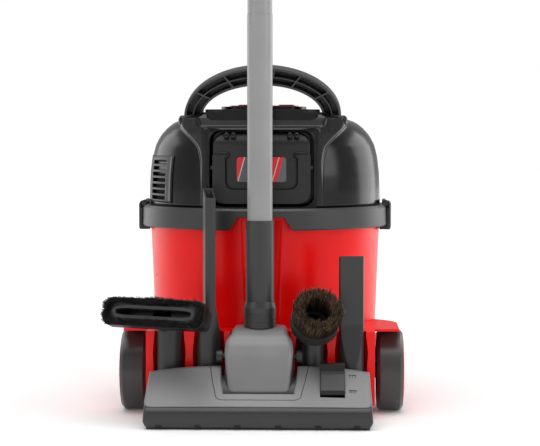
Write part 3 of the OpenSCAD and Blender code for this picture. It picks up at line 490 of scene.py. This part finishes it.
def pebble(name, middle, size, power, material, body, rows=16, cols=32):
    """A rounded block: a superellipsoid, whose point is the size times cosine
    and sine of its two angles, each raised to the power and keeping its sign."""
    up = np.linspace(-np.pi / 2, np.pi / 2, rows)[1:-1, None]
    around = np.linspace(0, 2 * np.pi, cols, endpoint=False)[None]

    def shaped(v):
        return np.sign(v) * abs(v) ** power

    x = shaped(np.cos(up)) * shaped(np.cos(around))
    y = shaped(np.cos(up)) * shaped(np.sin(around))
    z = shaped(np.sin(up)) * np.ones_like(around)
    points = np.stack([x, y, z], -1) * np.array(size) + np.array(middle)
    return skin(name, points, material, body, round_v=True, caps=(True, True),
                smooth=60, flip=True)


def pipe(name, path, radius, material, body, sides=8, closed=False):
    """A round wire along a path: a circle in the plane across the path at each
    of its points."""
    path = np.asarray(path, float)
    ahead = np.gradient(path, axis=0)
    ahead /= np.linalg.norm(ahead, axis=1)[:, None]
    one = np.cross(ahead, [0.13, 0.21, 0.97])
    one /= np.linalg.norm(one, axis=1)[:, None]
    two = np.cross(ahead, one)
    a = np.linspace(0, 2 * np.pi, sides, endpoint=False)
    points = (path[:, None] + radius * (np.cos(a)[None, :, None] * one[:, None]
                                        + np.sin(a)[None, :, None] * two[:, None]))
    return skin(name, points, material, body, round_v=True, caps=(True, True), smooth=60)


# painted shade for the gap between the bail and the padded face: the near-black of plastic in deep
# shadow, with a dusty mottle
joint_shade, tree, surface, here = finish_with("joint_shadow", Roughness=0.8)
dust_and_shade = add(tree, "TexNoise", inputs={"Vector": here, "Scale": 400.0})
tree.links.new(add(tree, "ValToRGB", inputs={"Fac": dust_and_shade.outputs["Fac"]}, stops=[
    (0.3, linear("#060606")), (0.7, linear("#101011"))]).outputs["Color"],
    surface.inputs["Base Color"])
corner = np.radians(np.linspace(0, 90, 10))
gap_x = np.concatenate([[45.7, 45.7], 35.7 + 10 * np.cos(corner), [0]])
gap_z = np.concatenate([[334, 312], 302.2 - 10 * np.sin(corner), [292.2]])
gap = np.stack([np.concatenate([gap_x, -gap_x[-2::-1]]), np.full(25, -141.2),
                np.concatenate([gap_z, gap_z[-2::-1]])], -1)
# a near-black tube round the bail's U, painted shade for the gap
pipe("bail_gap_shade", gap, 1.2, joint_shade, "battery")
# two ears beside the bail's ends, four lugs along the battery's top edge, and
# a boss over each end of the handle's pin
for tag, sign in (("left", -1), ("right", 1)):
    pebble("battery_ear_" + tag, (sign * 50.5, -140.4, 335.5), (9.5, 4.6, 4.2), 0.5,
           black_gloss, "battery")
    pebble("pivot_boss_" + tag, (sign * 105.0, -90, 380), (6.6, 10.0, 7.4), 0.8, black_gloss,
           "head")
    for k, x in enumerate((36.5, 45.5)):
        pebble(f"bay_lug_{tag}_{k}", (sign * x, -138.6, 361.0), (3.6, 4.5, 4.4), 0.7,
               black_gloss, "battery", 10, 20)

# Crevice tools: two charcoal polypropylene blades, each flattened from a round
# socket that is pushed into its pocket in the base.
wear(charcoal, "crevice_tool_long", "crevice_tool_short")

# Dusting brush: an angled charcoal cup holding a ring of mixed natural hair,
# dark at the root and bleached brown at the tip, trimmed a little unevenly.
wear(charcoal, "dusting_brush")


def hairs(name, roots, aims, lengths, bends, radius, material, body, seed):
    """Tapered three-sided hairs. A hair's centre runs root + aim * length * t
    + bend * t squared, and its radius falls by half to the tip; the mesh keeps
    t as 'along' and a number for each hair as 'hair'."""
    count, steps = len(roots), 5
    t = np.linspace(0, 1, steps)[None, :, None]
    line = roots[:, None] + aims[:, None] * lengths[:, None, None] * t + bends[:, None] * t ** 2
    sidew = np.cross(aims, [0.3, 0.2, 0.93])
    sidew /= np.linalg.norm(sidew, axis=1)[:, None]
    upw = np.cross(aims, sidew)
    a = np.arange(3) * 2 * np.pi / 3
    ringed = (np.cos(a)[None, :, None] * sidew[:, None]
              + np.sin(a)[None, :, None] * upw[:, None])
    points = line[:, :, None] + ringed[:, None] * radius * (1 - 0.5 * t[..., None])
    first = (np.arange(count)[:, None, None] * steps * 3
             + np.arange(steps - 1)[None, :, None] * 3)
    k, k1 = np.arange(3)[None, None], (np.arange(3)[None, None] + 1) % 3
    quads = np.stack([first + k, first + k1, first + k1 + 3, first + k + 3], -1).reshape(-1, 4)
    ends = np.arange(count)[:, None] * steps * 3 + (steps - 1) * 3 + np.arange(3)
    mesh = bpy.data.meshes.new(name)
    mesh.from_pydata((points.reshape(-1, 3) / 1000 + np.array(AXIS)).tolist(), [],
                     quads.tolist() + ends.tolist())
    shade = np.random.default_rng(seed).random(count)
    for label, value in (("along", np.tile(np.repeat(np.linspace(0, 1, steps), 3), count)),
                         ("hair", np.repeat(shade, steps * 3))):
        mesh.attributes.new(label, "FLOAT", "POINT").data.foreach_set(
            "value", value.astype(np.float32))
    mesh.polygons.foreach_set("use_smooth", [True] * len(mesh.polygons))
    mesh.materials.append(material)
    piece = bpy.data.objects.new(name, mesh)
    scene.collection.objects.link(piece)
    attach(piece, body)
    return piece


def hair_finish(name, root, dark, light, rough):
    """Hair: a dark root, then each hair its own shade between two colours."""
    material, tree, surface, here = finish_with(name, Roughness=rough)
    along = add(tree, "Attribute", {"attribute_name": "along"})
    each = add(tree, "Attribute", {"attribute_name": "hair"})
    shades = add(tree, "ValToRGB", inputs={"Fac": each.outputs["Fac"]}, stops=[
        (0.0, linear(dark)), (0.55, linear(dark)), (1.0, linear(light))])
    tip = add(tree, "MapRange", inputs={"Value": along.outputs["Fac"],
                                        "From Min": 0.1, "From Max": 0.75})
    blend = add(tree, "MixRGB", inputs={"Fac": tip.outputs[0], "Color1": linear(root),
                                        "Color2": shades.outputs["Color"]})
    tree.links.new(blend.outputs["Color"], surface.inputs["Base Color"])
    return material


# goat and horse hair: dry, each hair its own brown
natural_hair = hair_finish("natural_hair", "#0d0a08", "#231a15", "#a07c50", 0.6)
BRUSH_AT = np.array([65.0, -188.0, 110.0])
BRUSH_AIM = np.array([0.164, -0.771, 0.616])
BRUSH_AIM /= np.linalg.norm(BRUSH_AIM)
brush_x = np.cross(BRUSH_AIM, [0, 0, 1.0])
brush_x /= np.linalg.norm(brush_x)
brush_y = np.cross(brush_x, BRUSH_AIM)
draw = np.random.default_rng(11)
HAIRS = 3300                        # fewer and thicker than real ones, so that they show
r = np.sqrt(draw.uniform(17.4 ** 2, 28.3 ** 2, HAIRS))
a = draw.uniform(0, 2 * np.pi, HAIRS)
out = np.cos(a)[:, None] * brush_x + np.sin(a)[:, None] * brush_y
roots = BRUSH_AT + BRUSH_AIM * 26 + out * r[:, None]
aims = BRUSH_AIM + out * ((r - 13.5) / 150)[:, None] + draw.normal(0, 0.03, (HAIRS, 3))
aims /= np.linalg.norm(aims, axis=1)[:, None]
lengths = draw.uniform(30, 35.5, HAIRS)
tufts = hairs("dusting_hair", roots, aims, lengths, draw.normal(0, 1.0, (HAIRS, 3)), 0.42,
              natural_hair, "dusting", 12)
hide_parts("dusting_bristles")
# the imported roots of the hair, seen as a dark ring between the hairs
turns = np.linspace(0, 2 * np.pi, 64, endpoint=False)[:, None]
profile = np.array([(17.6, 25), (18.2, 40), (19.8, 50), (24, 52.5), (28.4, 50), (28.6, 36),
                    (28.2, 25)])[:, :, None, None]                 # reach, how far along
spoke = np.cos(turns) * brush_x + np.sin(turns) * brush_y
bed = BRUSH_AT + BRUSH_AIM * profile[:, 1] + spoke * profile[:, 0]
packed_hair, tree, surface, here = finish_with("packed_hair_roots", Roughness=0.8)
clumps = add(tree, "TexNoise", inputs={"Vector": here, "Scale": 1 / 0.0012, "Detail": 3.0})
tree.links.new(add(tree, "ValToRGB", inputs={"Fac": clumps.outputs["Fac"]}, stops=[
    (0.35, linear("#0d0a08")), (0.7, linear("#2e2219"))]).outputs["Color"],
    surface.inputs["Base Color"])
skin("dusting_hair_bed", bed, packed_hair, "dusting", round_u=True,
     round_v=True, smooth=60, flip=True)

# Upholstery nozzle with a slide-on brush frame: a double row of black nylon
# hair set round the frame's edge, splayed and a little ragged from use.
wear(charcoal, "upholstery_nozzle")
wear(black_matt, "slide_brush_frame")
# nylon 6 filament: black, with a small plastic shine
nylon_hair = hair_finish("black_nylon_hair", "#060607", "#0b0b0c", "#2a2b2d", 0.45)
NOZZLE_AT = np.array([-116.0, -188.0, 124.0])
NOZZLE_AIM = np.array([-0.3971, -0.8517, 0.3420])
NOZZLE_S = np.array([0.9063, -0.4226, 0.0])
NOZZLE_V = np.array([0.1445, 0.3100, 0.9397])
NYLON = 3600
a = draw.uniform(0, 2 * np.pi, NYLON * 2)
# roots keep to a band inside the frame's outline, more of them towards the ends
a = a[np.argsort(abs(np.sin(a)) * 0.4 + draw.random(NYLON * 2))[:NYLON]]
span = round_rect(a, 70.6, 17.2, 9.0)
x, y = span * np.cos(a), span * np.sin(a)
inset = draw.uniform(0.0, 6.5, NYLON)
x -= np.sign(x) * np.minimum(abs(x), inset * (abs(x) > 60))
y -= np.sign(y) * np.minimum(abs(y), inset * (abs(y) > 9))
roots = NOZZLE_AT + NOZZLE_AIM * 43.5 + x[:, None] * NOZZLE_S + y[:, None] * NOZZLE_V
splay = (x / 71)[:, None] * NOZZLE_S * 0.05 + (y / 17.4)[:, None] * NOZZLE_V * 0.05
aims = NOZZLE_AIM + splay + draw.normal(0, 0.16, (NYLON, 3))
aims /= np.linalg.norm(aims, axis=1)[:, None]
nylon = hairs("slide_brush_hair", roots, aims, draw.uniform(6.5, 10.5, NYLON),
              draw.normal(0, 0.8, (NYLON, 3)), 0.4, nylon_hair, "slide_brush",
              13)
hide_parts("slide_brush_bristles")
# the grey lip that the air slot is moulded in
t = np.linspace(0, 2 * np.pi, 120, endpoint=False)
lip_rows = []
LIP_ROWS = ((60.5, 9.6, 5, 40.0), (60.5, 9.6, 5, 44.6), (59.6, 8.7, 4.5, 45.4),
            (55.0, 5.4, 2.5, 45.4), (54.2, 4.4, 2, 44.8), (53.6, 4.0, 2, 36.0))
for half_w, half_h, corner_r, d in LIP_ROWS:
    q = round_rect(t, half_w, half_h, corner_r)
    lip_rows.append(NOZZLE_AT + NOZZLE_AIM * d + (q * np.cos(t))[:, None] * NOZZLE_S
                    + (q * np.sin(t))[:, None] * NOZZLE_V)
skin("nozzle_lip", np.array(lip_rows), charcoal, "slide_brush", round_v=True,
     flip=True, smooth=40, wall=0.8)

# Wand: an extruded light grey tube pushed into a charcoal connector, which
# turns on a ribbed collar; the park pin under it hooks into the base.
# extruded ABS: an even light grey with a soft lengthwise highlight
tube_plastic = moulded("grey_extruded_tube", "#8f8f8f", 0.33, 1.4, 0.02)
wear(tube_plastic, "wand_tube")
wear(charcoal, "wand_connector", "neck_collar", "park_pin", "knuckle_axle")

# Floor tool. Its body is one charcoal moulding that runs round the ends; a mid
# grey skin with rounded corners is clipped on top, and a knuckle hood of the
# same grey stands in its window over the swivel.
# mid grey polypropylene: silky, with a broad soft highlight
mid_grey = moulded("mid_grey_polypropylene", "#7a7a7b", 0.36, 0.9, 0.03)
TOOL = [(-212.5, 2.6), (-212.5, 40), (-212.5, 66), (-214, 70), (-217.5, 71.3), (-222, 69.6),
        (-240, 56.5), (-257, 43), (-272, 31), (-278.6, 26), (-281.4, 22), (-281.7, 14),
        (-281.0, 8), (-279.8, 3.4), (-279.3, 2.6)]
TOOL_HALF, TOOL_END = 141.8, 4.0    # half length, and the round of the ends
# the openings for the knuckle and the pedal: x from, x to, y from, y to
SLOT, FOOT = (-48.0, 48.0, -259.0, -203.0), (76.4, 107.6, -262.5, -215.5)
SLOT_HALF = [(26, 43.4), (44, 43.8), (56, 46.2), (70, 47.6)]


def tool_section(fine):
    """The tool's profile with its corners eased, as many points by length."""
    corner = np.array(TOOL)
    run = np.concatenate([[0], np.cumsum(np.hypot(*np.diff(corner, axis=0).T))])
    s = np.linspace(0, run[-1], fine)
    return np.stack([eased(s, zip(run, corner[:, i]), 1.6) for i in (0, 1)], -1)


def tool_point(x, y, z):
    """A point of the tool: its height falls off towards the ends by up to 8 mm
    as |x| cubed, and its ends lean in by a tenth of the height."""
    far = abs(x) / TOOL_HALF
    drop = np.clip((z - 25) / 47, 0, 1) * 8 * far ** 3
    lean = ((0.07 * np.maximum(z - 12, 0) + 0.5 * np.maximum(9 - z, 0))
            * np.clip((far - 0.7) / 0.3, 0, 1))
    slot = eased(z, SLOT_HALF, 3.0)
    a = abs(x)
    a = np.where(a <= 48, a * slot / 48, np.where(a < 70, slot + (a - 48) * (70 - slot) / 22, a))
    return np.stack([np.sign(x) * (a - lean), y, z - drop], -1)


def holes(x, section):
    """True where a cell of the x by section grid is outside both openings."""
    mx, my = (x[:-1] + x[1:]) / 2, (section[:-1, 0] + section[1:, 0]) / 2
    mz = (section[:-1, 1] + section[1:, 1]) / 2
    inside = np.zeros((len(my), len(mx)), bool)
    for x0, x1, y0, y1 in (SLOT, FOOT):
        inside |= (((my > y0) & (my < y1) & (mz > 30))[:, None]
                   & ((mx > x0) & (mx < x1))[None])
    return ~inside


section = tool_section(150)
ends = TOOL_HALF - TOOL_END * (1 - np.sin(np.linspace(0, np.pi / 2, 7)))
inner = np.unique(np.concatenate([np.linspace(-ends[0], ends[0], 90), SLOT[:2], FOOT[:2]]))
x = np.concatenate([-ends[::-1][:-1], inner, ends[1:]])
pull = np.maximum(abs(x) - ends[0], 0) / TOOL_END
pull = TOOL_END * (1 - np.sqrt(1 - np.minimum(pull, 1) ** 2))
centre = np.array([-245.0, 28.0])
reach = np.linalg.norm(section - centre, axis=1)
inward = (centre - section)[:, None] * (pull[None, :] / reach[:, None])[..., None]
shrunk = section[:, None] + inward
body = tool_point(np.broadcast_to(x, shrunk.shape[:2]), shrunk[..., 0], shrunk[..., 1])
base = skin("floor_tool_body", body.transpose(1, 0, 2), charcoal, "floor_head",
            caps=(True, True), keep=holes(x, section).T, smooth=40, flip=True, wall=2.4)
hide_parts("floor_bumper")

# the grey skin stands 1 mm proud and stops short of the ends and the front
run = np.concatenate([[0], np.cumsum(np.hypot(*np.diff(section, axis=0).T))])
top = (section[:, 1] > 27.5) & (run > 45)
upper = section[top]
normal = np.gradient(upper, axis=0)
normal = np.stack([normal[:, 1], -normal[:, 0]], -1) / np.linalg.norm(normal, axis=1)[:, None]
s_top = run[top] - run[top][0]
SKIN_HALF, SKIN_CORNER = 138.0, 10.0
bottom = np.maximum(s_top - (s_top[-1] - SKIN_CORNER), 0)
upper_c = np.maximum(4.0 - s_top, 0)
half_at = (SKIN_HALF + 0.5 - SKIN_CORNER
           + np.sqrt(np.maximum(SKIN_CORNER ** 2 - bottom ** 2, 0))
           + np.sqrt(np.maximum(16 - upper_c ** 2, 0)))
fixed = np.unique(np.concatenate([np.linspace(-112, 112, 70), SLOT[:2], FOOT[:2]]))
outer = np.linspace(0, 1, 16)[1:]
grown = 112 + (half_at[:, None] - 112) * outer
wide = np.hstack([-grown[:, ::-1], np.broadcast_to(fixed, (len(s_top), len(fixed))), grown])
lifted = upper + normal * 1.0
points = tool_point(wide, np.broadcast_to(lifted[:, :1], wide.shape),
                    np.broadcast_to(lifted[:, 1:], wide.shape))
cells = np.concatenate([-np.full(16, 120.0), fixed[1:-1], np.full(16, 120.0)])
cover = skin("floor_tool_cover", points, mid_grey, "floor_head",
             keep=holes(cells, upper), wall=1.6, smooth=40)
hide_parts("floor_shell")


def on_cover(x, y, raise_by=1.0):
    """The cover's surface at x and y: the profile's height there, eased off
    towards the ends as the tool is."""
    slope = slice(np.argmax(section[:, 1]), len(section) - 30)
    order = np.argsort(section[slope, 0])
    z = np.interp(y, section[slope, 0][order], section[slope, 1][order]) + raise_by * 1.25
    return tool_point(np.asarray(x, float), np.asarray(y, float), z)


# the joint line of the middle panel: down, round the corners and across
t = np.linspace(0, 1, 24)
corner_a = np.radians(np.linspace(0, 90, 12))
path_x = np.concatenate([62 - 6 * t, 48 + 8 * np.cos(corner_a), 48 * (1 - t)])
path_y = np.concatenate([-219 - 42 * t, -261 - 6.5 * np.sin(corner_a), np.full(24, -267.5)])
path_x = np.concatenate([path_x, -path_x[::-1]])
path_y = np.concatenate([path_y, path_y[::-1]])
pipe("panel_joint", on_cover(path_x, path_y, 0.9), 0.45, joint_shade, "floor_head")

# Two moulded pictures beside the pedal: bristles up for carpet, down for
# hard floor. Each is a bar with short legs, a fraction of a millimetre high.
for tag, cy, legs in (("carpet", -229.0, 3), ("floor", -252.0, 5)):
    bar = np.linspace(113.0, 124.0, 12)
    pipe("mark_" + tag, on_cover(bar, np.full(12, cy)), 0.55, charcoal, "floor_head")
    for k, x_at in enumerate(np.linspace(114.5, 122.5, legs)):
        down = np.linspace(0, -3.2, 5)
        pipe(f"mark_{tag}_{k}", on_cover(np.full(5, x_at), cy + down - 0.6), 0.4, charcoal,
             "floor_head", 6)

# The knuckle hood: a shield-shaped grey face rolled over at its edges, set in
# darker cheeks that reach down into the tool's window.
HOOD = [(-246, 40.6), (-252.5, 40.6), (-256, 44.5), (-253.4, 60), (-250.4, 74), (-246, 87),
        (-239, 100), (-231, 109.5), (-220, 116), (-208, 118.6), (-180, 119)]
FACE_HALF = [(0, 37.6), (14, 38.4), (46, 41.6), (66, 43.2), (80, 42.0), (94, 36.0), (140, 34.0)]
corner = np.array(HOOD)
run = np.concatenate([[0], np.cumsum(np.hypot(*np.diff(corner, axis=0).T))])
s_hood = np.linspace(0, run[-1], 80)
line = np.stack([eased(s_hood, zip(run, corner[:, i]), 3.0) for i in (0, 1)], -1)
ahead = np.gradient(line, axis=0)
outward = np.stack([-ahead[:, 1], ahead[:, 0]], -1) / np.linalg.norm(ahead, axis=1)[:, None]
face = eased(s_hood, FACE_HALF, 5.0)
low = np.clip(12.0 - s_hood, 0, 12)
face = face - 12.0 + np.sqrt(np.maximum(144 - low ** 2, 0))
ROLL = 7.0                              # the round of the face's long edges
roll = np.radians(np.linspace(0, 90, 8))
edge_in = ROLL - ROLL * np.cos(roll)    # how far in from the side
edge_down = ROLL - ROLL * np.sin(roll)  # how far below the face
flat = np.linspace(-1, 1, 26)[1:-1]
side_in = np.concatenate([[0.0], edge_in])
side_down = np.concatenate([[10.0], edge_down])
x = np.hstack([-face[:, None] + side_in, (face[:, None] - ROLL) * flat,
               face[:, None] - side_in[::-1]])
down = np.hstack([np.broadcast_to(side_down, (80, 9)),
                  np.zeros((80, 24)), np.broadcast_to(side_down[::-1], (80, 9))])
down = down - 1.3 * (1 - (x / 46) ** 2)
hood = np.stack([x, line[:, :1] - outward[:, :1] * down,
                 line[:, 1:] - outward[:, 1:] * down], -1)
hood_piece = skin("hood_face", hood, mid_grey, "knuckle", flip=True, wall=2.0,
                  smooth=45)
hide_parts("knuckle_hood")
cheek = np.array([[26.0, 0.0], [12.0, 0.8], [5.0, 2.2], [3.2, 4.4]])  # depth, in from the side
span = np.minimum(43.0, face + 2.6)
x = np.hstack([-span[:, None] + cheek[:, 1], span[:, None] - cheek[::-1, 1]])
down = np.broadcast_to(np.concatenate([cheek[:, 0], cheek[::-1, 0]]), x.shape)
cheeks = np.stack([x, line[:, :1] - outward[:, :1] * down,
                   line[:, 1:] - outward[:, 1:] * down], -1)
skin("hood_cheeks", cheeks, charcoal, "knuckle", flip=True, wall=2.0, smooth=60)
# the hood's round base turns in the window on the same pin
swing = np.radians(np.linspace(-20, 200, 60))[:, None]
barrel_x = np.concatenate([[-45.6], np.linspace(-45, 45, 12), [45.6]])[None]
barrel_r = np.where(abs(barrel_x) > 45.3, 32.4, 33.2) * np.ones_like(swing)
barrel = np.stack([np.broadcast_to(barrel_x, barrel_r.shape), -224 + barrel_r * np.cos(swing),
                   26 + barrel_r * np.sin(swing)], -1)
skin("hood_barrel", barrel, charcoal, "knuckle", smooth=40, wall=2.0, flip=True)

# The sole: a charcoal plate with notches along its edge that let carpet pile
# through, rollers and brush strips; the pedal above rocks to drop the brushes.
# each notch is a small near-black blob on the front edge: painted shade for the notch's hollow
for k, x_at in enumerate((-122, -74, -25, 25, 74, 122)):
    pebble(f"sole_notch_shade_{k}", (x_at, -279.4, 4.2), (4.0, 2.4, 1.5), 0.35, joint_shade,
           "floor_head", 8, 16)
wear(charcoal, "sole_plate", "sole_rollers", "floor_brushes")
wear(black_matt, "pedal")

# Everything inside, out of sight until the head is lifted: matt black parts of
# the motor and filter, steel stator and shaft, bonded cloth and a circuit board.
wear(black_matt, "motor_plate", "motor_housing", "exhaust_filter", "bag_collar",
     "inlet_collar", "filter_ring", "fan_impeller")
wear(steel, "motor_stator", "fan_shaft", "head_screws", "battery_contacts")
# spunbond polyester: off-white and dry, with a felted cloud of 1.5 mm
cloth, tree, surface, here = finish_with("spunbond_filter_cloth", Roughness=0.85)
fibres = add(tree, "TexNoise", inputs={"Vector": here, "Scale": 1 / 0.0015, "Detail": 5.0})
tree.links.new(add(tree, "ValToRGB", inputs={"Fac": fibres.outputs["Fac"]}, stops=[
    (0.3, linear("#c9c6bd")), (0.7, linear("#e6e4dd"))]).outputs["Color"],
    surface.inputs["Base Color"])
wear(cloth, "filter_cloth", "dust_bag")
# epoxy board under green solder mask: a light satin, with blocks like tracks
board, tree, surface, here = finish_with("green_solder_mask", Roughness=0.35)
tracks = add(tree, "TexVoronoi", {"distance": "MANHATTAN"}, {"Vector": here, "Scale": 400.0})
tree.links.new(add(tree, "ValToRGB", inputs={"Fac": tracks.outputs["Distance"]}, stops=[
    (0.2, linear("#1c5a35")), (0.8, linear("#2f7d4b"))]).outputs["Color"],
    surface.inputs["Base Color"])
wear(board, "control_board")
